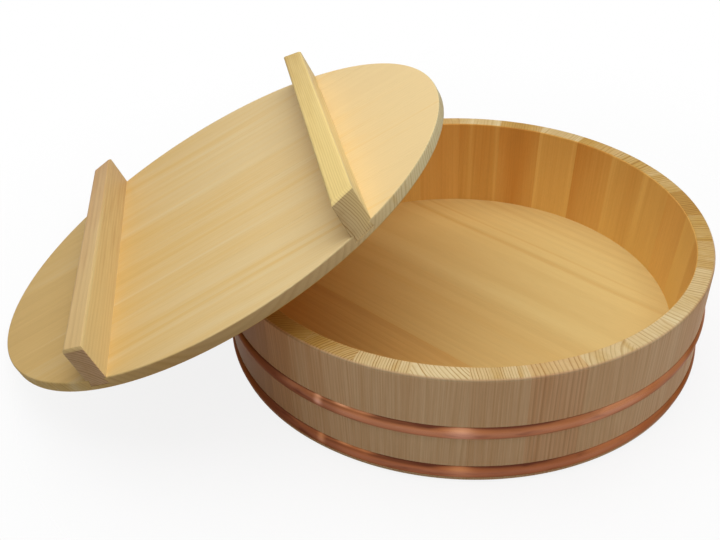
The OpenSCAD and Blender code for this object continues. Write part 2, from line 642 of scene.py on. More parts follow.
@dataclass(frozen=True)
class StaveLie(Lie):
    """Wood of all staves: each stave's turn and growth are attributes of the wall's mesh."""

    middle_r: float  # radius of the middle of the wall's thickness
    veins: int = 2  # veins that a stave can have

    # How squarely a surface has to face a way to count
    END = Ramp(0.70, 0.99)
    EDGE = (Ramp(0.06, 0.30), Ramp(1.0, 0.5))
    OUTER = Ramp(0.05, 0.3)
    INSIDE = Ramp(-0.05, -0.7)
    SHELL = Ramp(0.2, 0.9)

    def place(self, sheet: Sheet) -> Value:
        """Find the place in the stave's own frame.

        Args:
            sheet: the material's nodes.

        Returns:
            The place upwards, sideways and outwards, in millimetres.
        """
        values = {"Vector": sheet.here(), "Angle": sheet.attribute("turn")}
        settings = {"rotation_type": "Z_AXIS", "invert": True}
        out, side, up = sheet.split(sheet.node("ShaderNodeVectorRotate", settings, values))
        return sheet.combine(up / MM, side / MM, out / MM - self.middle_r)

    def outwards(self, sheet: Sheet) -> Value:
        """How squarely the surface faces away from the tub's middle, from -1 to 1."""
        level = sheet.vector_math("MULTIPLY", sheet.here(), (1, 1, 0))
        return sheet.facing(sheet.vector_math("NORMALIZE", level))

    def upwards(self, sheet: Sheet) -> Value:
        """Against the tub's upright axis."""
        return abs(sheet.facing(UP))

    def end_cut(self, sheet: Sheet) -> Value:
        """End grain shows on the rim and the foot, but little on their rounded edges."""
        return self.END.of(self.upwards(sheet))

    def rounded_edge(self, sheet: Sheet) -> Value:
        """The rounded outer edge of the rim and the foot, strongest where it leaves the wall."""
        return self.OUTER.of(self.outwards(sheet)) * super().rounded_edge(sheet)

    def inside(self, sheet: Sheet) -> Value:
        """The inner wall."""
        return self.INSIDE.of(self.outwards(sheet))

    def shell(self, sheet: Sheet) -> Value:
        """The outer wall."""
        return self.SHELL.of(self.outwards(sheet))

    def growth(self, sheet: Sheet) -> Growth:
        """Read each stave's growth off the mesh.

        Args:
            sheet: the material's nodes.

        Returns:
            Links to the attributes.
        """
        own = {name: sheet.attribute(name) for name in Growth.links()}
        names = [item.name for item in fields(Vein)]
        veins = [
            Vein(**{name: sheet.attribute(f"vein{n}_{name}") for name in names})
            for n in range(self.veins)
        ]
        return Growth(**own, veins=tuple(veins))


@dataclass(frozen=True)
class Spot:
    """What the shader knows of a spot of the wood: shares from 0 to 1, lengths in millimetres."""

    grown: Growth
    place: Value  # along the grain, across it and in depth
    along: Value
    across: Value
    drawn: Value  # across the grain, counted from where the grain has wandered to
    from_pith: Value  # distance from the tree's pith
    end: Value  # share of end grain
    inside: Value | float  # share of the side to the rice
    shell: Value | float  # share of the outer side
    edge: Value | float  # share of a board's edge all round


@dataclass(frozen=True)
class Cypress:
    """Planed, unfinished cypress as a solid pattern: growth rings round a far pith, and streaks.

    A tint is what is left of each colour of the light. Sizes of a pattern are its lengths along
    the grain, across it and in depth, in millimetres.
    """

    # Painted light among these: the bounce tint and climb on the side to the rice, the edge light
    # tint on rounded edges, and the light slopes along the grain
    early: Colour = (0.82, 0.615, 0.335, 1)  # wood of tone 0
    heart: Colour = (0.615, 0.345, 0.132, 1)  # wood of tone 1
    deep: Colour = (0.67, 0.57, 0.40, 1)  # tint of each step of tone past 1
    blush: Colour = (1.03, 0.90, 0.86, 1)  # tint of red wood
    late: Colour = (0.60, 0.46, 0.30, 1)  # tint of a growth line
    late_red: Colour = (0.56, 0.34, 0.26, 1)  # the same in red wood
    end_heart: Colour = (0.59, 0.335, 0.083, 1)  # wood of tone 1 on the end grain
    end_late: Colour = (0.53, 0.33, 0.07, 1)  # tint of a growth line there
    end_late_red: Colour = (0.50, 0.27, 0.07, 1)  # the same in red wood
    end_tint: Colour = (0.91, 0.985, 1.02, 1)  # tint of the end grain
    steep_tint: Colour = (1.06, 0.91, 0.47, 1)  # painted bounce light: warm tint of the side to the rice
    worn_tint: Colour = (1.08, 1.10, 1.14, 1)  # painted light on rounded edges: above 1 a painted highlight, below 1 painted shade
    shell_tint: Colour = WHITE  # tint of the outer side
    band: float = 0.5  # strength of the broad bands
    band_size: Triple = (420.0, 17.0, 24.0)
    band_shell: float = 0.3  # how much stronger they are on the outer side
    band_seed: float = 7.7  # added to the wood's own seed
    streak: float = 0.4  # strength of the streaks
    streak_size: Triple = (130.0, 3.2, 5.0)
    streak_shell: float = -0.45
    streak_seed: float = 3.1
    hair: float = 0.5  # strength of the finest lines
    hair_gap: float = 0.75
    hair_length: float = 70.0
    hair_shell: float = 1.7
    fibre: float = 0.16  # strength of the fibres
    fibre_size: Triple = (14.0, 0.4, 0.4)
    wander: float = 3.0  # how far the grain wanders across
    wander_size: Triple = (170.0, 26.0, 26.0)
    uneven: float = 2.4  # how unevenly the growth lines lie, in lines
    uneven_size: float = 11.0
    line: Point = (0.30, 0.80)  # shares of a ring between which its growth line darkens
    end_line: Point = (0.22, 0.08)  # how much later that is on the end grain
    line_end: Ramp = Ramp(1.0, 0.90)  # where in a ring its line stops
    faintest: float = 0.35  # strength of the faintest growth line
    calm: float = 0.7  # how much fainter the growth lines are on the inside
    calm_tone: float = 0.5  # share of that calm that bands, streaks and the finest lines have
    shell_calm: float = 0.0  # how much fainter the veins are on the outside
    climb: float = 0.0  # painted bounce light: change of tone on the inside over 100 millimetres along the grain
    climb_from: float = 50.0  # where along the grain that change is nought
    dusk: float = 0.0  # painted light: change of brightness over 100 millimetres along the grain
    edge_painted_light_slope: float = 0.0  # painted light: the same, but only on a board's edge all round
    edge_lines: float = 0.0  # how much stronger the growth lines are on that edge
    edge_from: Ramp = Ramp(0.9, 0.5)
    roughness: float = 0.55
    roughened: float = 0.10  # how much rougher fibres and end grain are
    gloss: float = 0.15
    line_height: float = 0.02  # how far growth lines and fibres stand out
    fibre_height: float = 0.03

    def look(self, sheet: Sheet, lie: Lie) -> Spot:
        """Find out where in the tree a spot of the surface was.

        Args:
            sheet: the material's nodes.
            lie: how the wood lies in the piece.

        Returns:
            What the patterns are drawn from.
        """
        place, grown = lie.place(sheet), lie.growth(sheet)
        along, across, depth = sheet.split(place)
        drawn = across + self.wander * sheet.noise(place, self.wander_size, grown.seed)
        side, rise = drawn - grown.pith_across, depth - grown.pith_depth
        from_pith = sheet.math("SQRT", side * side + rise * rise)
        shares = lie.end_cut(sheet), lie.inside(sheet), lie.shell(sheet)
        edge = self.edge_from.of(lie.upwards(sheet)) if self.edge_painted_light_slope else 0.0
        return Spot(grown, place, along, across, drawn, from_pith, *shares, edge)

    def lines(self, sheet: Sheet, at: Spot) -> Value:
        """Draw the growth lines.

        Args:
            sheet: the material's nodes.
            at: a spot of the surface.

        Returns:
            0 between the lines and up to 1 in a line.
        """
        seed = at.grown.seed
        place, size = sheet.combine(at.from_pith, seed, 0.0), (self.uneven_size, 1, 1)
        drift = self.uneven * sheet.noise(place, size, seed, detail=1.0)
        count = at.from_pith / at.grown.gap + drift + seed
        phase = sheet.math("FRACT", count)
        ring = {"W": sheet.math("FLOOR", count)}
        chance = sheet.node("ShaderNodeTexWhiteNoise", {"noise_dimensions": "1D"}, ring)
        low, high = (a + b * at.end for a, b in zip(self.line, self.end_line))
        line = sheet.step(phase, low, high) * self.line_end.of(phase)
        return line * (self.faintest + (1.0 - self.faintest) * chance)

    def tone(self, sheet: Sheet, at: Spot) -> Value:
        """Add up the tone of the wood.

        Args:
            sheet: the material's nodes.
            at: a spot of the surface.

        Returns:
            0 for pale sapwood, 1 for dark heartwood.
        """
        grown, seed = at.grown, at.grown.seed
        quiet = 1.0 - self.calm_tone * self.calm * at.inside
        tone = grown.tone + grown.end_tone * at.end
        tone = tone + at.across * grown.drift * PER_100 + at.along * grown.fade * PER_100
        # Painted bounce light: the inside changes tone along the grain
        if self.climb:
            tone = tone + at.inside * (at.along - self.climb_from) * (self.climb * PER_100)
        bands = sheet.noise(at.place, self.band_size, seed + self.band_seed)
        tone = tone + self.band * (quiet + self.band_shell * at.shell) * bands
        streaks = sheet.noise(at.place, self.streak_size, seed + self.streak_seed, detail=3.0)
        tone = tone + self.streak * (quiet + self.streak_shell * at.shell) * streaks
        place = sheet.combine(at.from_pith, at.along / self.hair_length, seed)
        hairs = sheet.noise(place, (self.hair_gap, 1, 1), seed, detail=3.0)
        tone = tone + self.hair * (quiet + self.hair_shell * at.shell) * hairs
        for vein in grown.veins:
            near = sheet.step(abs(at.drawn - vein.place) / vein.width, 1.0, 0.0)
            tone = tone + vein.tone * near * (1.0 - self.shell_calm * at.shell)
        return tone

    def build(self, name: str, lie: Lie) -> Material:
        """Make the material for one way in which the wood lies.

        Args:
            name: the material's name.
            lie: how the wood lies in the piece.

        Returns:
            The material.
        """
        material, sheet = new_sheet(name)
        at = self.look(sheet, lie)
        grown, end, line, tone = at.grown, at.end, self.lines(sheet, at), self.tone(sheet, at)
        dark = sheet.mix(grown.red, self.late, self.late_red)
        dark = sheet.mix(end, dark, sheet.mix(grown.red, self.end_late, self.end_late_red))
        strength = (grown.contrast + self.edge_lines * at.edge) * (1.0 - self.calm * at.inside)
        strength = strength * (1.0 - end) + grown.end_contrast * end
        fibre = sheet.noise(at.place, self.fibre_size, grown.seed)
        glow = 1.0 + self.fibre * fibre
        # Painted light: brightness sloping along the grain, more steeply on a board's edge all
        # round
        if self.dusk:
            glow = glow + at.along * (self.dusk * PER_100 + at.edge * (self.edge_painted_light_slope * PER_100))
        wood = sheet.mix(tone, self.early, sheet.mix(end, self.heart, self.end_heart))
        wood = sheet.mix(1.0, wood, sheet.combine(glow, glow, glow), "MULTIPLY")
        # Among these tints the bounce tint and the edge light tint are painted light
        tints = (
            (tone - 1.0, self.deep),
            (grown.red, self.blush),
            (line * strength, dark),
            (end, self.end_tint),
            (at.inside, self.steep_tint),
            (at.shell, self.shell_tint),
            (lie.rounded_edge(sheet), self.worn_tint),
        )
        for share, tint in tints:
            wood = sheet.mix(1.0, wood, sheet.mix(share, WHITE, tint), "MULTIPLY")
        sheet.surface(
            Base_Color=wood,
            Roughness=self.roughness + self.roughened * fibre + self.roughened * end,
            Specular_IOR_Level=self.gloss,
            Normal=sheet.bump(line * self.line_height + fibre * self.fibre_height),
        )
        return material


# Metal and bamboo


@dataclass(frozen=True)
class LightSpot:
    """A spot of painted light on a hoop: a painted glint among the glints, painted shade among the
    shaded spots.
    """

    angle: float  # degrees round the hoop
    width: float  # half its width, in degrees
    low: float = -2.0  # its lower and upper end, in half widths of the hoop from its middle
    high: float = 2.0
    strength: float = 1.0
    full: float = 0.0  # half of the width over which it has its full strength, in degrees


@dataclass(frozen=True)
class Copper:
    """Rolled copper band, satin, with fine lines, tarnish clouds, oxide edges, painted glints,
    painted shade and a painted warm upper half.
    """

    bright: Colour = (0.66, 0.36, 0.27, 1)
    satin: Colour = (0.375, 0.155, 0.083, 1)
    # dull: the colour of tarnish, and of the painted shade and dark reflections
    dull: Colour = (0.105, 0.036, 0.026, 1)
    graze: Colour = (0.70, 0.50, 0.40, 1)
    warm: Colour = (1.03, 0.92, 0.66, 1)  # painted reflection: warm tint of the upper half
    roughness: float = 0.30
    hoop_r: float = 179.0  # radius at which the patterns are measured, in millimetres
    fine_size: Triple = (34.0, 0.25, 1.0)  # lengths of the fine lines round the hoop and upwards
    cloud_size: Triple = (26.0, 5.0, 1.0)
    softness: Point = (0.25, 0.15)  # how softly a spot ends below and above, in half widths
    bright_clouds: Ramp = Ramp(0.10, 0.30, 0.3)
    dull_clouds: Ramp = Ramp(0.0, -0.30, 0.5)
    # darker edges: oxide, and painted contact shade where the hoop meets the wall
    dull_edges: Ramp = Ramp(0.84, 1.0, 0.4)
    # painted shade on the hoop's lower half
    dull_foot: Ramp = Ramp(0.1, -0.9, 0.20)
    # where the painted warm tint of the upper half reaches, in half widths
    warm_half: Ramp = Ramp(-0.2, 0.6)
    glint_lift: float = 0.6  # share of the tarnish and painted shade that bright clouds and painted glints take off
    rough_lines: float = 0.25  # how much rougher the fine lines and dull places are
    rough_dull: float = 0.12
    line_height: float = 0.02  # how far the fine lines stand out
    relief: float = 0.4  # strength of that
    seeds: Point = (2.0, 5.0)  # of the fine lines and the clouds
    # Painted glints: highlights of the lamps, painted at given angles round the hoop
    rubbed: tuple[LightSpot, ...] = (
        LightSpot(231, 5.0, 0.2, 0.9, 0.25),
        LightSpot(238.5, 1.7, -0.35, 1.3, 0.8),
        LightSpot(238.5, 1.7, high=-0.3, strength=0.3),
        LightSpot(244.3, 3.0, 0.84, 1.3, 1.3),
        LightSpot(250, 6.0, 0.84, 1.3, 0.55),
        LightSpot(246, 5.0, -2.0, 0.3, 0.07),
        LightSpot(270, 3.6, 0.15, 1.0, 0.40),
        LightSpot(270, 5.0, strength=0.38),
        LightSpot(304, 11.0, strength=0.24, full=3.0),
        LightSpot(323, 9.0, strength=0.3, full=3.0),
    )
    # Painted shade and painted dark reflections at given angles; the widest, at 208 degrees,
    # paints the shade on the lid's side
    stained: tuple[LightSpot, ...] = (
        LightSpot(208, 45, full=12),
        LightSpot(245, 9, 0.42, 0.66, 0.4, full=5),
        LightSpot(258, 9, 0.40, strength=0.8, full=5),
        LightSpot(276, 18, 0.72, strength=0.75, full=10),
        LightSpot(285, 16, 0.35, strength=0.25, full=8),
        LightSpot(330, 18, strength=0.36, full=8),
        LightSpot(241, 3.5, strength=0.13, full=1),
        LightSpot(255, 6, high=0.3, strength=0.08, full=3),
        LightSpot(280, 6, strength=0.10, full=2),
    )

    def spread(self, spots: Sequence[LightSpot], round_way: Value, height: Value) -> Value:
        """Add up how much of each spot reaches a place.

        Args:
            spots: the spots.
            round_way: the place's angle round the hoop.
            height: its height above the hoop's middle, in half widths.

        Returns:
            The sum of the spots' strengths there.
        """
        sheet, total = height.sheet, 0.0
        below, above = self.softness
        for spot in spots:
            away = sheet.math("PINGPONG", round_way - math.radians(spot.angle), math.pi)
            span = sheet.step(height, spot.low - below, spot.low + below)
            span = span * sheet.step(height, spot.high + above, spot.high - above)
            beside = sheet.step(away, math.radians(spot.width), math.radians(spot.full))
            total = total + beside * span * spot.strength
        return total

    def build(self, name: str, middle: float, half_width: float) -> Material:
        """Make the material for one hoop.

        Args:
            name: the material's name.
            middle: height of the hoop's middle, in millimetres.
            half_width: half of the hoop's width, in millimetres.

        Returns:
            The material.
        """
        material, sheet = new_sheet(name)
        x, y, z = sheet.split(sheet.here())
        round_way = sheet.math("ARCTAN2", y, x)
        place = sheet.combine(round_way * self.hoop_r, z / MM, 0.0)
        height = (z / MM - middle) / half_width
        fine = sheet.noise(place, self.fine_size, self.seeds[0], detail=3.0)
        cloud = sheet.noise(place, self.cloud_size, self.seeds[1], detail=3.0)
        # Bright clouds and painted glints lift the colour towards bright; tarnish, oxide edges and
        # painted shade pull it towards dull
        polish_and_glints = self.bright_clouds.of(cloud) + self.spread(self.rubbed, round_way, height)
        tarnish_and_shade = self.dull_edges.of(abs(height)) + self.dull_clouds.of(cloud)
        tarnish_and_shade = tarnish_and_shade + self.spread(self.stained, round_way, height)
        tarnish_and_shade = tarnish_and_shade + self.dull_foot.of(height)
        tarnish_and_shade_share = tarnish_and_shade * (1.0 - self.glint_lift * sheet.math("MINIMUM", polish_and_glints, 1.0))
        copper_with_painted_light = sheet.mix(tarnish_and_shade_share, sheet.mix(polish_and_glints, self.satin, self.bright), self.dull)
        painted_warmed = sheet.mix(1.0, copper_with_painted_light, self.warm, "MULTIPLY")
        sheet.surface(
            Base_Color=sheet.mix(self.warm_half.of(height), copper_with_painted_light, painted_warmed),
            Metallic=1.0,
            Specular_Tint=self.graze,
            Roughness=self.roughness + self.rough_lines * fine + self.rough_dull * tarnish_and_shade_share,
            Normal=sheet.bump(fine * self.line_height, self.relief),
        )
        return material


@dataclass(frozen=True)
class Bamboo:
    """Split and turned bamboo, for the pins."""

    pale: Colour = (0.62, 0.50, 0.23, 1)
    dark: Colour = (0.40, 0.27, 0.09, 1)
    dot_size: Triple = (0.5, 0.5, 0.5)
    dots: Ramp = Ramp(-0.05, 0.15)
    dot_height: float = 0.03
    seed: float = 1.0
    roughness: float = 0.5

    def build(self, name: str) -> Material:
        """Make the material.

        Args:
            name: its name.

        Returns:
            The material.
        """
        material, sheet = new_sheet(name)
        place = sheet.vector_math("DIVIDE", sheet.here(), (MM, MM, MM))
        grain = sheet.noise(place, self.dot_size, self.seed)
        colour = sheet.mix(self.dots.of(grain), self.pale, self.dark)
        bump = sheet.bump(grain * self.dot_height)
        sheet.surface(Base_Color=colour, Roughness=self.roughness, Normal=bump)
        return material


# The tub


# Staves that the photograph shows, by number: tone, red, slant, gap, pith, contrast, seed,
# end contrast, end tone and drift, and then each vein's place, half width and tone
STAVES_SEEN = {
    1: Timber(0.15, 0.4, 4, 2.4, 150, 0.30, 11.3, 0.9, 1.25),
    2: Timber(
        0.15, 0.1, -6, 2.6, 180, 0.20, 27.1, 0.9, 0.67, veins=((18, 1.6, 0.4), (13, 4, -0.3))
    ),
    3: Timber(0.27, 0.1, 5, 3.4, 150, 0.30, 3.9, 0.9, 0.5, veins=((-8, 12, 0.15), (15, 6, -0.2))),
    4: Timber(0.60, 0.3, 2, 2.8, 160, 0.25, 48.5, 0.5, 0.28, 1.5),
    5: Timber(
        0.36, 0.1, -4, 2.4, 170, 0.20, 66.2, 0.9, 0.1, veins=((16, 4, -0.25), (-14, 3.5, -0.15))
    ),
    6: Timber(0.63, 0.3, 8, 2.2, 140, 0.25, 81.4, 0.5, 0.16, veins=((1, 19, 0.45),)),
    7: Timber(
        0.79, 0.1, -5, 3.6, 130, 0.45, 35.8, 0.3, -0.30, veins=((-15, 4, -0.35), (7, 3, -0.3))
    ),
    8: Timber(0.52, 0.4, 6, 3.6, 140, 0.40, 19.6, 0.4, 0.2),
    # Staves 17 to 19, beside the lid, get dark tones that paint the lid's shade, and stave 19 its
    # drift too
    17: Timber(2.00, 0.3, 10, 2.4, 150, 0.22, 47.2, 0.6, -0.8),
    18: Timber(2.00, 0.1, -16, 2.2, 160, 0.22, 31.6, 0.6, -0.6, -1.8),
    19: Timber(0.95, 0.1, -40, 2.1, 170, 0.20, 72.7, 0.6, 0.45, -2.2),
    20: Timber(0.45, 0.2, -26, 2.1, 160, 0.20, 9.2, 1.0, 0.37, -0.6, veins=((-9, 8, 0.2),)),
    21: Timber(0.30, 0.1, 6, 1.8, 180, 0.17, 55.5, 1.0, 0.0, veins=((8.5, 3, 0.35),)),
    22: Timber(0.30, 0.1, 34, 2.5, 90, 0.14, 61.9, 1.0, -0.2),
    23: Timber(0.36, 0.2, 3, 1.8, 170, 0.22, 14.8, 1.0, -0.05, veins=((-2, 8, 0.4), (13, 3, 0.4))),
    24: Timber(0.40, 0.6, -8, 3.1, 120, 0.40, 43.3, 0.7, 0.1),
    25: Timber(
        0.36, 0.2, -36, 3.0, 45, 0.25, 87.2, 0.7, -0.1, veins=((-7, 8, 0.32), (15.5, 3, 0.35))
    ),
    26: Timber(0.30, 0.2, -6, 3.4, 90, 0.30, 30.4, 0.65, -0.05),
    # Stave 27's tone and drift are set darker to paint shade at the wall's right end
    27: Timber(0.60, 0.1, -6, 3.0, 150, 0.28, 5.1, 0.65, -0.30, 1.6),
    28: Timber(0.75, 0.1, 3, 2.6, 160, 0.25, 76.6, 0.9, -0.40),
    29: Timber(0.36, 0.2, -4, 2.2, 160, 0.22, 51.2, 0.9, 0.37),
    30: Timber(-0.05, 0.1, 5, 2.2, 160, 0.20, 22.9, 1.0, 0.95, veins=((-15.8, 3, 0.3),)),
}


@dataclass
class StaveWall:
    """The wall: one tapered stave, dealt round by geometry nodes. Sizes in millimetres."""

    rim_r: float = 180.0
    height: float = 88.5
    outer_draw: float = 4.0  # how much narrower the outside is at the foot than at the rim
    inner_draw: float = 8.0  # how much narrower the inside is at the floor
    rim_wall: float = 13.0  # thickness at the rim
    count: int = 30
    first_joint: float = 7.2  # in degrees
    rim_round: float = 2.2
    mouth_round: float = 1.2
    foot_bevel: float = 1.2
    floor_z: float = 18.0
    groove: float = 3.5  # depth of the groove that holds the bottom
    edge_t: float = 6.0  # height of that groove and of the bottom's edge in it
    arris: float = 0.08  # how far the long edges are broken
    unevenness: float = 0.06  # how much further in than the rim a stave may stand
    chords: int = 12  # flats across a stave
    seed: int = 11  # of the unevenness
    wood_seed: int = 5  # of the staves' wood
    finish: Cypress = Cypress(
        shell_tint=(1.065, 0.98, 1.01, 1),
        # painted shade on the rounded outer edges of rim and foot
        worn_tint=(0.74, 0.78, 0.80, 1),
        # painted bounce light: the inner wall gets paler towards the floor
        climb=0.65,
        shell_calm=0.8,
    )

    @property
    def floor_r(self) -> float:
        """Radius of the inside at the floor."""
        return self.rim_r - self.rim_wall - self.inner_draw

    def outside(self, z: float) -> float:
        """Radius of the outside at a height."""
        return self.rim_r - self.outer_draw + self.outer_draw * z / (self.height - self.rim_round)

    def inside(self, z: float) -> float:
        """Radius of the inside at a height."""
        rise = self.height - self.mouth_round - self.floor_z
        return self.floor_r + self.inner_draw * (z - self.floor_z) / rise

    def outline(self) -> list[Point]:
        """Draw the wall's section, with the groove that holds the bottom.

        Returns:
            Points in radius and height, anticlockwise.
        """
        mouth, deep = self.rim_r - self.rim_wall, self.floor_r + self.groove
        edge_z = self.floor_z - self.edge_t
        slope = self.inner_draw / (self.height - self.mouth_round - self.floor_z)
        low = (self.inside(0) - deep + edge_z) / (1 - slope)
        bevel, rim, lip = self.foot_bevel, self.rim_round, self.mouth_round
        return [
            (self.inside(bevel), bevel),
            (self.inside(0) + bevel, 0),
            (self.outside(0) - bevel, 0),
            (self.outside(bevel), bevel),
            *arc((self.rim_r - rim, self.height - rim), rim, 0, 90),
            *arc((mouth + lip, self.height - lip), lip, 90, 180),
            (self.floor_r, self.floor_z),
            (deep, self.floor_z),
            (deep, edge_z),
            (self.inside(low), low),
        ]

    def stave(self) -> Object:
        """Make one stave, centred on the +X axis, with its long edges broken.

        Returns:
            The stave.
        """
        full = braced(self.outline())
        broken = inset(full, self.arris)
        half = 180.0 / self.count
        skip = math.degrees(self.arris / self.rim_r)
        turns = [(half - skip) * (2 * k / self.chords - 1) for k in range(self.chords + 1)]
        rings = []
        for turn, ring in [(-half, broken), *((t, full) for t in turns), (half, broken)]:
            c, s = math.cos(math.radians(turn)), math.sin(math.radians(turn))
            rings.append([Vector((r * c, r * s, z)) * MM for r, z in ring])
        return new_object("stave_wall", to_mesh(loft(rings), "stave_wall"))

    def tree(self, finish: Material) -> GrowthTree:
        """Make the geometry nodes that deal one stave round the tub.

        Args:
            finish: the staves' material.

        Returns:
            The tree, which leaves each stave's turn and number on its points.
        """
        step = 360.0 / self.count
        tree = GrowthTree(
            "coopered_wall",
            {
                "Staves": ("NodeSocketInt", self.count),
                "Stave Angle": ("NodeSocketFloat", math.radians(step)),
                "First Middle": ("NodeSocketFloat", math.radians(self.first_joint + step / 2)),
                "Unevenness": ("NodeSocketFloat", self.unevenness * MM),
                "Seed": ("NodeSocketInt", self.seed),
                "Finish": ("NodeSocketMaterial", finish),
            },
        )
        index = tree.node("GeometryNodeInputIndex")
        turn = tree.given("First Middle") + index * tree.given("Stave Angle")
        span = {2: 0.0, 3: tree.given("Unevenness"), "Seed": tree.given("Seed")}
        back = 0.0 - tree.node("FunctionNodeRandomValue", {"data_type": "FLOAT"}, span, out=1)
        x, y = tree.math("COSINE", turn) * back, tree.math("SINE", turn) * back
        values = {"Count": tree.given("Staves"), "Position": tree.combine(x, y, 0.0)}
        points = tree.node("GeometryNodePoints", values=values)
        values = {"Axis": tuple(UP), "Angle": turn}
        spin = tree.node("FunctionNodeAxisAngleToRotation", values=values)
        values = {"Points": points, "Instance": tree.given("Geometry"), "Rotation": spin}
        dealt = tree.node("GeometryNodeInstanceOnPoints", values=values)
        for name, value in (("turn", turn), ("stave", index)):
            settings = {"data_type": "FLOAT", "domain": "INSTANCE"}
            values = {"Geometry": dealt, "Name": name, "Value": value}
            dealt = tree.node("GeometryNodeStoreNamedAttribute", settings, values)
        tree.end(dealt)
        return tree

    def timbers(self) -> dict[int, Timber]:
        """Choose each stave's own wood: drawn by chance, or set where the photograph shows it.

        Returns:
            Timber by stave number.
        """
        draw = random.Random(self.wood_seed)
        drawn = {
            i: Timber(
                tone=draw.uniform(0.25, 0.5),
                red=draw.uniform(0.1, 0.5),
                slant=draw.uniform(-18, 18),
                gap=draw.uniform(1.8, 3.6),
                pith=draw.uniform(90, 220),
                contrast=draw.uniform(0.18, 0.35),
                seed=draw.uniform(0, 90),
            )
            for i in range(1, self.count + 1)
        }
        return drawn | STAVES_SEEN

    def build(self) -> None:
        """Make the wall and write each stave's growth on its points."""
        lie = StaveLie((self.inside(self.height / 2) + self.outside(self.height / 2)) / 2)
        wall = self.tree(self.finish.build("stave_cypress", lie)).grow(self.stave())
        numbers = [round(item.value) + 1 for item in wall.data.attributes["stave"].data]
        grown = {i: wood.growth() for i, wood in self.timbers().items()}
        layers = {name: (grown, name) for name in Growth.links()}
        for n in range(lie.veins):
            veins = {i: (*wood.veins, *[Vein()] * lie.veins)[n] for i, wood in grown.items()}
            layers |= {f"vein{n}_{item.name}": (veins, item.name) for item in fields(Vein)}
        for name, (source, key) in layers.items():
            layer = wall.data.attributes.new(name, "FLOAT", "POINT")
            layer.data.foreach_set("value", [getattr(source[i], key) for i in numbers])
        nodes = [f"stave_{i:02d}" for i in range(1, self.count + 1)]
        settle(wall, Body.TUB, Slot.STAVE, nodes)


@dataclass
class Hoop:
    """A crowned copper hoop on the tapered wall, swept by geometry nodes. Millimetres."""

    name: str
    wall: StaveWall
    middle: float  # height of its middle above the table
    seed: float  # of the ripples
    copper: Copper = Copper()
    width: float = 9.5
    edge: float = 0.5  # how far its edges stand out of the wall
    crown: float = 1.6  # how far its middle stands out
    ripple: float = 0.10  # how far the crown wavers
    ripple_length: float = 30.0
    ripple_squat: float = 0.4  # how much shorter a ripple is upwards
    ripple_from: float = 0.6  # level of the noise at which the crown keeps its place
    ripple_gain: float = 2.0  # makes up for the noise's narrow span
    steps: int = 16  # flats across the face
    around: int = 720  # flats round the hoop

    def section(self) -> list[Point]:
        """Draw the hoop's section.

        Returns:
            Points in distance from the wall's radius at its middle and in height.
        """
        half = self.width / 2
        lean = self.wall.outside(self.middle + half) - self.wall.outside(self.middle)
        face = []
        for k in range(self.steps + 1):
            s = 2 * k / self.steps - 1
            face.append((s * lean + self.edge + (self.crown - self.edge) * (1 - s * s), s * half))
        return [(lean, half), (-lean, -half), *face]

    def tree(self, finish: Material) -> GrowthTree:
        """Make the geometry nodes that sweep the section round the wall and let its crown waver.

        Args:
            finish: the hoop's material.

        Returns:
            The tree.
        """
        tree = GrowthTree(
            "crowned_hoop",
            {
                "Radius": ("NodeSocketFloat", self.wall.outside(self.middle) * MM),
                "Height": ("NodeSocketFloat", self.middle * MM),
                "Around": ("NodeSocketInt", self.around),
                "Ripple": ("NodeSocketFloat", self.ripple * MM),
                "Ripple Length": ("NodeSocketFloat", self.ripple_length * MM),
                "Seed": ("NodeSocketFloat", self.seed),
                "Finish": ("NodeSocketMaterial", finish),
            },
        )
        values = {"Resolution": tree.given("Around"), "Radius": tree.given("Radius")}
        circle = tree.node("GeometryNodeCurvePrimitiveCircle", values=values)
        profile = tree.node("GeometryNodeMeshToCurve", values={"Mesh": tree.given("Geometry")})
        values = {"Curve": circle, "Profile Curve": profile}
        swept = tree.node("GeometryNodeCurveToMesh", values=values)
        here = tree.node("GeometryNodeInputPosition")
        x, y, _ = tree.split(here)
        out = tree.vector_math("NORMALIZE", tree.combine(x, y, 0.0))
        reach = tree.math("SQRT", x * x + y * y) - tree.given("Radius")
        crowned = tree.step(reach, self.edge * MM, self.crown * MM)
        length = tree.given("Ripple Length")
        size = tree.combine(length, length, length * self.ripple_squat)
        place = tree.vector_math("DIVIDE", here, size)
        values = {"Vector": place, "W": tree.given("Seed"), "Scale": 1.0, "Detail": 2.0}
        wave = tree.node("ShaderNodeTexNoise", {"noise_dimensions": "4D"}, values)
        push = (wave - self.ripple_from) * crowned * tree.given("Ripple") * self.ripple_gain
        offset = tree.vector_math("MULTIPLY", out, tree.combine(push, push, push))
        offset = tree.vector_math("ADD", offset, tree.combine(0.0, 0.0, tree.given("Height")))
        values = {"Geometry": swept, "Offset": offset}
        tree.end(tree.node("GeometryNodeSetPosition", values=values))
        return tree

    def build(self) -> None:
        """Make the hoop."""
        section = self.section()
        mesh = bpy.data.meshes.new(self.name)
        edges = [(i, (i + 1) % len(section)) for i in range(len(section))]
        mesh.from_pydata([Vector((x, y, 0)) * MM for x, y in section], edges, [])
        node = self.name.removesuffix("_band")
        finish = self.copper.build(node.replace("hoop", "copper"), self.middle, self.width / 2)
        hoop = self.tree(finish).grow(new_object(self.name, mesh))
        shade(hoop.data)
        settle(hoop, Body.TUB, Slot.COPPER, [node])


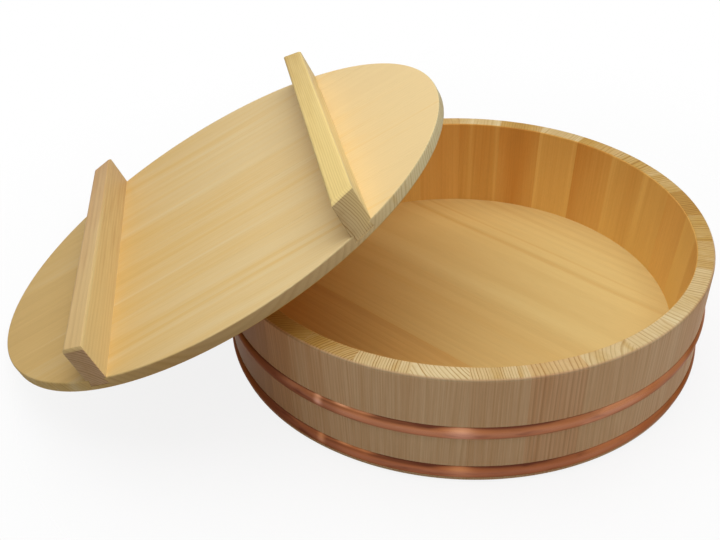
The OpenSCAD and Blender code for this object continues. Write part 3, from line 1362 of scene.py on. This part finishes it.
@dataclass
class Boards:
    """A round of boards, cut at its seams from one disc, whose own x runs along the grain."""

    node: str
    outline: list[Point]  # of the disc's edge in radius and height, from below, in millimetres
    seams: tuple[float, ...]  # places across the grain
    matrix: Matrix
    timbers: list[Timber]
    finish: Cypress
    body: Body
    slot: Slot
    steep: float  # strength of the painted bounce tint of the side to the rice
    arris: float = 0.1  # how far the edges along the seams are broken
    chords: int = 360  # flats round the disc

    def disc(self) -> bmesh.types.BMesh:
        """Make the whole disc, with one flat face on each side.

        Returns:
            The disc.
        """
        turns = [2 * math.pi * k / self.chords for k in range(self.chords)]
        ways = [(math.cos(turn), math.sin(turn)) for turn in turns]
        rings = [[Vector((r * c, r * s, z)) * MM for c, s in ways] for r, z in self.outline]
        solid = loft(rings)
        bmesh.ops.recalc_face_normals(solid, faces=solid.faces)
        return solid

    def board(self, disc: bmesh.types.BMesh, *sides: float | None) -> bmesh.types.BMesh:
        """Cut a board out of the disc and break its edges along its seams.

        Args:
            disc: the whole disc.
            sides: the lower and the upper seam, or None at the disc's edge.

        Returns:
            The board.
        """
        solid = disc.copy()
        for place, sign in zip(sides, (-1, 1)):
            if place is None:
                continue
            at = Vector((0, place * MM, 0))
            cut = bmesh.ops.bisect_plane(
                solid,
                geom=[*solid.verts, *solid.edges, *solid.faces],
                plane_co=at,
                plane_no=(0, sign, 0),
                clear_outer=True,
            )["geom_cut"]
            edges = [part for part in cut if isinstance(part, bmesh.types.BMEdge)]
            bmesh.ops.contextual_create(solid, geom=edges)
            bmesh.ops.recalc_face_normals(solid, faces=solid.faces)
            around = [e for e in solid.edges if all(abs(v.co.y - at.y) < CLOSE for v in e.verts)]
            bmesh.ops.bevel(
                solid, geom=around, offset=self.arris * MM, segments=1, affect="EDGES"
            )
        return solid

    def build(self, cutters: Sequence[Object] = ()) -> None:
        """Make every board.

        Args:
            cutters: solids whose room is taken out of the boards.
        """
        disc = self.disc()
        ends = [None, *self.seams, None]
        for i, (sides, timber) in enumerate(zip(zip(ends, ends[1:]), self.timbers), start=1):
            name = f"{self.node}_{i}"
            board = new_object(f"{name}_wood", to_mesh(self.board(disc, *sides), name))
            for cutter in cutters:
                slot = board.modifiers.new("slot", "BOOLEAN")
                slot.operation, slot.solver, slot.object = "DIFFERENCE", "EXACT", cutter
            if cutters:
                shade(bake_modifiers(board).data)
            board.data.transform(self.matrix)
            lie = BoardLie(self.matrix, timber, self.steep)
            board.data.materials.clear()
            board.data.materials.append(self.finish.build(f"{name}_cypress", lie))
            settle(board, self.body, self.slot, [name])
        disc.free()


@dataclass
class TubBottom:
    """The bottom: boards with a bevelled edge in the staves' groove. Millimetres."""

    wall: StaveWall
    thickness: float = 10.0
    grain: float = -39.0  # turn of the boards, in degrees
    seams: tuple[float, ...] = (-57.0, 14.0, 90.0)
    # tone, red, slant, gap, pith, contrast, seed
    timbers: tuple[Timber, ...] = (
        # the first board, by the wall at the front left, gets a darker, redder tone: painted shade
        # and painted bounce light
        Timber(0.84, 0.5, 60, 5.0, 90, 0.15, 41.3),
        Timber(0.62, 0.2, 50, 6.0, 110, 0.12, 17.9),
        Timber(0.53, 0.2, 55, 5.0, 100, 0.15, 63.1),
        Timber(0.56, 0.2, 60, 4.6, 120, 0.15, 5.7),
    )
    # place, half width and tone of each board's veins
    veins: tuple[tuple[Triple, ...], ...] = (
        ((-60, 8, 0.12),),
        ((-60, 8, 0.15), (-8, 8, 0.15)),
        # the pale vein at 28 on the third board is a painted sheen of the lamp
        ((28, 14, -0.2), (91, 4, 0.35)),
        ((91, 4, 0.35), (104, 2, 0.35), (135, 7, 0.15)),
    )
    # painted shade: the bottom darkens across and along its grain towards the lid's side
    drift: float = -0.28
    fade: float = -0.35
    # painted bounce tint on the bottom's upper side
    steep: float = 0.3
    finish: Cypress = Cypress(
        early=(0.72, 0.57, 0.262, 1),
        heart=(0.635, 0.42, 0.147, 1),
        wander=6,
        band=0.24,
        streak=0.2,
        streak_size=(260, 6, 14),
        hair=0.42,
    )

    def build(self) -> None:
        """Make the boards."""
        radius = self.wall.floor_r + self.wall.groove
        under, top = self.wall.floor_z - self.thickness, self.wall.floor_z
        edge_z = top - self.wall.edge_t
        Boards(
            node="bottom_board",
            outline=[(radius - (edge_z - under), under), (radius, edge_z), (radius, top)],
            seams=self.seams,
            matrix=Matrix.Rotation(math.radians(self.grain), 4, "Z"),
            timbers=[
                replace(wood, drift=self.drift, fade=self.fade, veins=veins)
                for wood, veins in zip(self.timbers, self.veins)
            ],
            finish=self.finish,
            body=Body.TUB,
            slot=Slot.BOTTOM,
            steep=self.steep,
        ).build()


# The lid


@dataclass
class Cleat:
    """A cleat along a chord of the lid, let in by its dovetail, with ends flush with the edge."""

    name: str
    place: float  # from the lid's middle, across the cleat, in millimetres
    lid_r: float
    lid_t: float
    timber: Timber
    finish: Cypress
    width: float = 16.0
    height: float = 26.5
    rounding: float = 2.0
    neck: float = 12.0  # width of the dovetail where it enters the lid
    foot: float = 15.0  # its width at the bottom
    depth: float = 5.0
    arris: float = 0.3  # how far the edges of the ends are broken
    fit: float = 0.06  # air between the dovetail and its slot
    slot_end: float = 5.0  # how far the slot's cutter reaches past the lid's edge
    slot_top: float = 1.0  # and above its boards

    @property
    def top(self) -> float:
        """Height of the top above the lid's underside."""
        return self.lid_t + self.height

    def section(self) -> list[Point]:
        """Draw the cleat's section.

        Returns:
            Points across the cleat and in height, anticlockwise from the dovetail's left shoulder.
        """
        half, r, fit = self.width / 2, self.rounding, self.fit
        return [
            (fit - self.neck / 2, self.lid_t),
            (fit - self.foot / 2, self.lid_t - self.depth + fit),
            (self.foot / 2 - fit, self.lid_t - self.depth + fit),
            (self.neck / 2 - fit, self.lid_t),
            (half, self.lid_t),
            *arc((half - r, self.top - r), r, 0, 90),
            *arc((r - half, self.top - r), r, 90, 180),
            (-half, self.lid_t),
        ]

    def end(self, x: float, z: float) -> float:
        """How far the end reaches from the lid's middle line: to its edge, less the top bevel."""
        back = max(0.0, z - (self.top - self.rounding))
        return math.sqrt((self.lid_r - back) ** 2 - (self.place + x) ** 2)

    def slot(self) -> Object:
        """Make a cutter for the dovetail's slot across the boards.

        Returns:
            The cutter, in the lid's frame.
        """
        low, high = self.lid_t - self.depth, self.lid_t + self.slot_top
        flare = (self.foot - self.neck) / (2 * self.depth)
        wide, narrow = self.foot / 2, self.neck / 2 - flare * self.slot_top
        corners = [(-wide, low), (wide, low), (narrow, high), (-narrow, high)]
        sides = (self.lid_r + self.slot_end, -self.lid_r - self.slot_end)
        solid = loft([[Vector((self.place + x, y, z)) * MM for x, z in corners] for y in sides])
        bmesh.ops.recalc_face_normals(solid, faces=solid.faces)
        cutter = new_object(f"{self.name}_slot", to_mesh(solid, f"{self.name}_slot"))
        cutter.hide_render = True
        return cutter

    def solid(self) -> bmesh.types.BMesh:
        """Loft the cleat from end to end, with broken edges at its ends.

        Returns:
            The cleat, in the lid's frame.
        """
        full = braced(self.section())
        broken = inset(full, self.arris)
        rings = []
        for sign in (1, -1):
            pair = [
                [
                    Vector((self.place + x, sign * (self.end(x, z) - back), z)) * MM
                    for x, z in ring
                ]
                for ring, back in ((broken, 0.0), (full, self.arris))
            ]
            rings += pair[::sign]
        solid = loft(rings, capped=False)
        shelf = self.top - self.rounding
        for start in (0, 3 * len(full)):
            ring = list(zip(solid.verts[start : start + len(full)], full))
            solid.faces.new([vert for vert, (_, z) in ring if z < shelf + CLOSE])
            solid.faces.new([vert for vert, (_, z) in ring if z > shelf - CLOSE])
        bmesh.ops.recalc_face_normals(solid, faces=solid.faces)
        return solid

    def build(self, lid_frame: Matrix) -> None:
        """Make the cleat.

        Args:
            lid_frame: the lid's own frame.
        """
        cleat = new_object(f"{self.name}_wood", to_mesh(self.solid(), self.name))
        cleat.data.transform(lid_frame)
        own = lid_frame @ Matrix.Translation((self.place * MM, 0, self.top / 2 * MM))
        lie = BoardLie(own @ Matrix.Rotation(math.radians(90), 4, "Z"), self.timber)
        cleat.data.materials.append(self.finish.build(f"{self.name}_cypress", lie))
        settle(cleat, Body.LID, Slot.CLEAT, [self.name])


@dataclass
class Lid:
    """The lid: boards and two cleats, leaning on the rim. Millimetres."""

    wall: StaveWall
    overhang: float = 8.0
    thickness: float = 8.4
    rounding: float = 1.0
    seams: tuple[float, ...] = (-98.0, -8.0, 36.0, 112.0)
    lean: float = 27.35  # in degrees
    turn: float = 15.0  # in its own plane, in degrees
    side: float = 9.8  # how far its middle lies behind the tub's
    gap: float = 0.3  # air between the lid and the rim
    places: Point = (-96.0, 99.0)  # of the cleats
    shy: float = 0.03  # how much smaller than the solids it is
    ledge: float = 0.35  # distance from the edge's rounding to a ring that keeps the flats flat
    # painted light: the lid's boards get paler along the grain, towards its high side
    fade: float = -0.45
    # painted bounce tint on the lid's underside
    steep: float = -1.0
    finish: Cypress = Cypress(
        early=(0.80, 0.61, 0.305, 1),
        heart=(0.77, 0.52, 0.187, 1),
        # faint painted shade on the rounded edges
        worn_tint=(0.94, 0.95, 0.95, 1),
        shell_tint=(0.735, 0.65, 0.60, 1),
        end_tint=(1.09, 1.25, 1.46, 1),
        deep=(0.9, 0.87, 0.82, 1),
        hair=0.22,
        band=0.80,
        streak=1.10,
        streak_size=(95, 8, 10),
        wander=5,
        # painted light: brighter along the grain, and darker along it on the edge all round
        dusk=0.04,
        edge_painted_light_slope=-0.19,
        edge_lines=0.22,
    )
    # tone, red, slant, gap, pith, contrast, seed
    timbers: tuple[Timber, ...] = (
        Timber(0.30, 0.1, 58, 2.4, 120, 0.08, 12.3),
        Timber(0.52, 0.1, 50, 3.0, 150, 0.07, 71.9),
        Timber(0.48, 0.1, 45, 2.6, 140, 0.07, 33.7),
        Timber(0.28, 0.1, 60, 3.2, 130, 0.07, 8.1),
        Timber(0.38, 0.1, 55, 2.6, 110, 0.08, 54.5),
    )
    # place, half width and tone of each board's veins
    veins: tuple[tuple[Triple, ...], ...] = (
        ((-121, 4, -0.25), (-130, 4, 0.4), (-141, 3.5, 0.5), (-148, 4, -0.25)),
        ((-24, 9, 0.3), (-40, 5, 0.4), (-70, 3, -0.4), (-86, 5, 0.15)),
        ((31, 3, 0.15), (-4, 9, 0.2)),
        ((80, 9, 0.25), (100, 8, -0.15), (43, 6, -0.25)),
        ((138, 9, 0.4), (124, 5, -0.3)),
    )

    @property
    def radius(self) -> float:
        """Radius of the lid."""
        return self.wall.rim_r + self.overhang

    def matrix(self) -> Matrix:
        """Lean the lid's own frame, whose z is nought at its underside, on the rim and the table.

        Returns:
            The frame.
        """
        lean, rim = math.radians(self.lean), self.wall.rim_round
        s, c = math.sin(lean), math.cos(lean)
        up = (self.radius - self.rounding) * s + self.rounding * (1 - c)
        reach = (self.wall.rim_r - rim) * s + (self.wall.height - rim) * c
        along = (up * c - reach - rim - self.gap) / s
        move = Matrix.Translation(Vector((along, self.side, up)) * MM)
        tip = Matrix.Rotation(-lean, 4, "Y")
        return move @ tip @ Matrix.Rotation(math.radians(self.turn), 4, "Z")

    def outline(self) -> list[Point]:
        """Draw the section of the lid's edge, with a ring inside each rounding.

        Returns:
            Points in radius and height, from below.
        """
        r, edge, t = self.rounding, self.radius - self.shy - self.rounding, self.thickness
        rounded = [*arc((edge, r), r, -90, 0), *arc((edge, t - r), r, 0, 90)]
        return [(edge - self.ledge, 0), *rounded, (edge - self.ledge, t)]

    def cleats(self) -> tuple[Cleat, Cleat]:
        """Choose the cleats' wood.

        Returns:
            The lower and the upper cleat.
        """
        low, high = self.places
        size = self.radius - self.shy, self.thickness
        lower_wood = Timber(0.20, 0.4, 50, 2.0, 60, 0.20, 22.2, 0.8, 0.32, 2.0, 0.25)
        upper_wood = Timber(0.16, 0.1, 10, 1.5, 110, 0.30, 90.4, 0.9, 0.28, 3.0, 0.30)
        lower_finish = Cypress(
            early=(0.80, 0.585, 0.265, 1),
            band=0.3,
            streak=0.8,
            streak_size=(40, 3.2, 5),
            # painted shade on the rounded edges
            worn_tint=(0.86, 0.88, 0.84, 1),
            shell_tint=(0.91, 0.99, 1.03, 1),
            end_tint=(0.93, 0.85, 1.03, 1),
        )
        upper_finish = Cypress(
            early=(0.82, 0.63, 0.247, 1),
            heart=(0.60, 0.39, 0.10, 1),
            band=0.4,
            streak=0.9,
            streak_size=(70, 6, 8),
            # faint painted highlight on the rounded edges
            worn_tint=(1.04, 1.05, 1.05, 1),
            shell_tint=(1.03, 1.07, 1.32, 1),
            end_tint=(0.72, 0.70, 0.90, 1),
        )
        return (
            Cleat("lower_cleat", low, *size, lower_wood, lower_finish),
            Cleat("upper_cleat", high, *size, upper_wood, upper_finish),
        )

    def build(self) -> None:
        """Make the boards, with the cleats' slots cut out of them, and the cleats."""
        matrix, cleats = self.matrix(), self.cleats()
        cutters = [cleat.slot() for cleat in cleats]
        Boards(
            node="lid_board",
            outline=self.outline(),
            seams=self.seams,
            matrix=matrix,
            timbers=[
                replace(wood, fade=self.fade, veins=veins)
                for wood, veins in zip(self.timbers, self.veins)
            ],
            finish=self.finish,
            body=Body.LID,
            slot=Slot.LID,
            steep=self.steep,
        ).build(cutters)
        for cutter in cutters:
            bpy.data.objects.remove(cutter)
        for cleat in cleats:
            cleat.build(matrix)


@dataclass
class Pins:
    """The bamboo pins keep their solids and get bamboo."""

    nodes: tuple[str, ...] = ("stave_pins", "bottom_pins", "lid_pins")

    def build(self) -> None:
        """Dress the pins."""
        bamboo = Bamboo().build("pin_bamboo")
        for name in self.nodes:
            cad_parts[name].data.materials.clear()
            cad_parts[name].data.materials.append(bamboo)
            LOG.info("%s: bamboo", name)


# The studio


@dataclass(frozen=True)
class Lamp:
    """A square soft light. Metres and watts."""

    name: str
    place: Triple
    aim: Triple
    size: float
    power: float

    def build(self) -> None:
        """Hang the lamp."""
        light = bpy.data.lights.new(self.name, "AREA")
        light.shape = "SQUARE"
        light.size, light.energy = self.size, self.power
        way = Vector(self.aim) - Vector(self.place)
        turn = way.to_track_quat("-Z", "Y").to_matrix().to_4x4()
        new_object(self.name, light).matrix_world = Matrix.Translation(self.place) @ turn
        LOG.info("%s: %.1f W", self.name, self.power)


@dataclass(frozen=True)
class Camera:
    """The photograph's camera, fitted to the outlines of tub and lid. Millimetres, degrees."""

    place: Triple = (-14.97, -688.40, 509.69)
    down: float = 33.9155
    right: float = -5.2431
    roll: float = -1.212
    lens: float = 54.091
    sensor: float = 36.0
    clip: Point = (0.01, 50.0)  # in metres

    def build(self) -> None:
        """Set the camera up."""
        pitch, yaw, roll = (math.radians(a) for a in (self.down, self.right, self.roll))
        ahead = Vector(
            (math.sin(yaw) * math.cos(pitch), math.cos(yaw) * math.cos(pitch), -math.sin(pitch))
        )
        side = ahead.cross(UP).normalized()
        up = side.cross(ahead)
        c, s = math.cos(roll), math.sin(roll)
        axes = Matrix((c * side + s * up, c * up - s * side, -ahead)).transposed()
        data = bpy.data.cameras.new("photo_camera")
        data.lens, data.sensor_width, data.sensor_fit = self.lens, self.sensor, "HORIZONTAL"
        data.clip_start, data.clip_end = self.clip
        camera = new_object("photo_camera", data)
        camera.matrix_world = Matrix.Translation(Vector(self.place) * MM) @ axes.to_4x4()
        bpy.context.scene.camera = camera


@dataclass
class Studio:
    """Pale floor, soft light and a white background."""

    floor_r: float = 3.0  # in metres
    floor_z: float = -0.1  # in millimetres, so that the foot never lies in the floor's plane
    floor_edges: int = 96
    fade: Ramp = Ramp(0.5, 1.3)  # distance over which the floor fades out, in metres
    eye_fade: float = 1.3  # how much sooner it fades out to the eye
    bounce: float = 0.32  # brightness of the floor to the light that it throws back
    matt: float = 0.98  # and to the eye
    ambient: float = 0.18  # strength of the world's light
    glow: float = 0.86  # share of the floor's white to the eye that no shadow darkens
    lamps: tuple[Lamp, ...] = (
        Lamp("overhead", (-0.05, 0.10, 1.1), (-0.05, 0.10, 0.0), 1.4, 12.4),
        Lamp("right", (1.6, 0.0, 0.6), (0.0, 0.0, 0.05), 0.8, 1.6),
        Lamp("front", (0.3, -1.7, 0.7), (0.0, 0.0, 0.05), 0.8, 2.8),
    )

    def seen(self, sheet: Sheet) -> Value:
        """Tell what is seen from what only lights.

        Args:
            sheet: the material's or the world's nodes.

        Returns:
            1 where the camera, a gloss or a clear body sees the surface, or else 0.
        """
        path = sheet.node("ShaderNodeLightPath", out="Is Camera Ray")
        either = sheet.math("MAXIMUM", path, path.other("Is Glossy Ray"))
        return sheet.math("MAXIMUM", either, path.other("Is Transmission Ray"))

    def floor_white(self) -> Material:
        """Make the floor's finish: white to the eye, grey to the light, and clear far out.

        Returns:
            The material.
        """
        material, sheet = new_sheet("floor_white")
        seen = self.seen(sheet)
        far = sheet.vector_math("LENGTH", sheet.here(), out="Value") * (1.0 + self.eye_fade * seen)
        greys = [(grey, grey, grey, 1) for grey in (self.bounce, self.matt)]
        values = {"Color": sheet.mix(seen, *greys)}
        matt = sheet.node("ShaderNodeBsdfDiffuse", values=values)
        white = sheet.node("ShaderNodeEmission", values={"Color": WHITE, "Strength": 1.0})
        clear = sheet.node("ShaderNodeBsdfTransparent")
        lit = sheet.node("ShaderNodeMixShader", values={0: seen * self.glow, 1: matt, 2: white})
        values = {0: self.fade.of(far), 1: lit, 2: clear}
        mixed = sheet.node("ShaderNodeMixShader", values=values)
        sheet.node("ShaderNodeOutputMaterial", values={"Surface": mixed})
        return material

    def floor(self) -> None:
        """Lay the floor, which isn't part of the object."""
        disc = bmesh.new()
        bmesh.ops.create_circle(
            disc, cap_ends=True, radius=self.floor_r, segments=self.floor_edges
        )
        bmesh.ops.translate(disc, verts=disc.verts, vec=(0, 0, self.floor_z * MM))
        floor = new_object("floor", to_mesh(disc, "floor"))
        floor.data.materials.append(self.floor_white())

    def world(self) -> None:
        """Even light from all round, behind a white background."""
        world = bpy.data.worlds.new("studio")
        bpy.context.scene.world = world
        world.use_nodes = True
        world.node_tree.nodes.clear()
        sheet = Sheet(world.node_tree)
        strength = self.ambient + (1.0 - self.ambient) * self.seen(sheet)
        values = {"Color": WHITE, "Strength": strength}
        light = sheet.node("ShaderNodeBackground", values=values)
        sheet.node("ShaderNodeOutputWorld", values={"Surface": light})

    def build(self) -> None:
        """Set the whole studio up."""
        self.floor()
        self.world()
        for lamp in self.lamps:
            lamp.build()
        bpy.context.scene.view_settings.view_transform = "Standard"


def main() -> None:
    """Build the tub, the lid and the studio."""
    logging.basicConfig(level=logging.INFO, format="%(name)s: %(message)s")
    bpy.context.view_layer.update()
    Camera().build()
    wall = StaveWall()
    wall.build()
    Hoop("upper_hoop_band", wall, middle=43.9, seed=3.0).build()
    # a darker copy of the copper for the lower hoop: painted shade
    shaded_lower_copper = Copper(
        bright=(0.50, 0.23, 0.13, 1),
        satin=(0.305, 0.110, 0.057, 1),
        dull=(0.09, 0.030, 0.022, 1),
    )
    Hoop("lower_hoop_band", wall, middle=9.1, seed=8.0, copper=shaded_lower_copper).build()
    TubBottom(wall).build()
    Lid(wall).build()
    Pins().build()
    Studio().build()


if __name__ == "__main__":
    main()
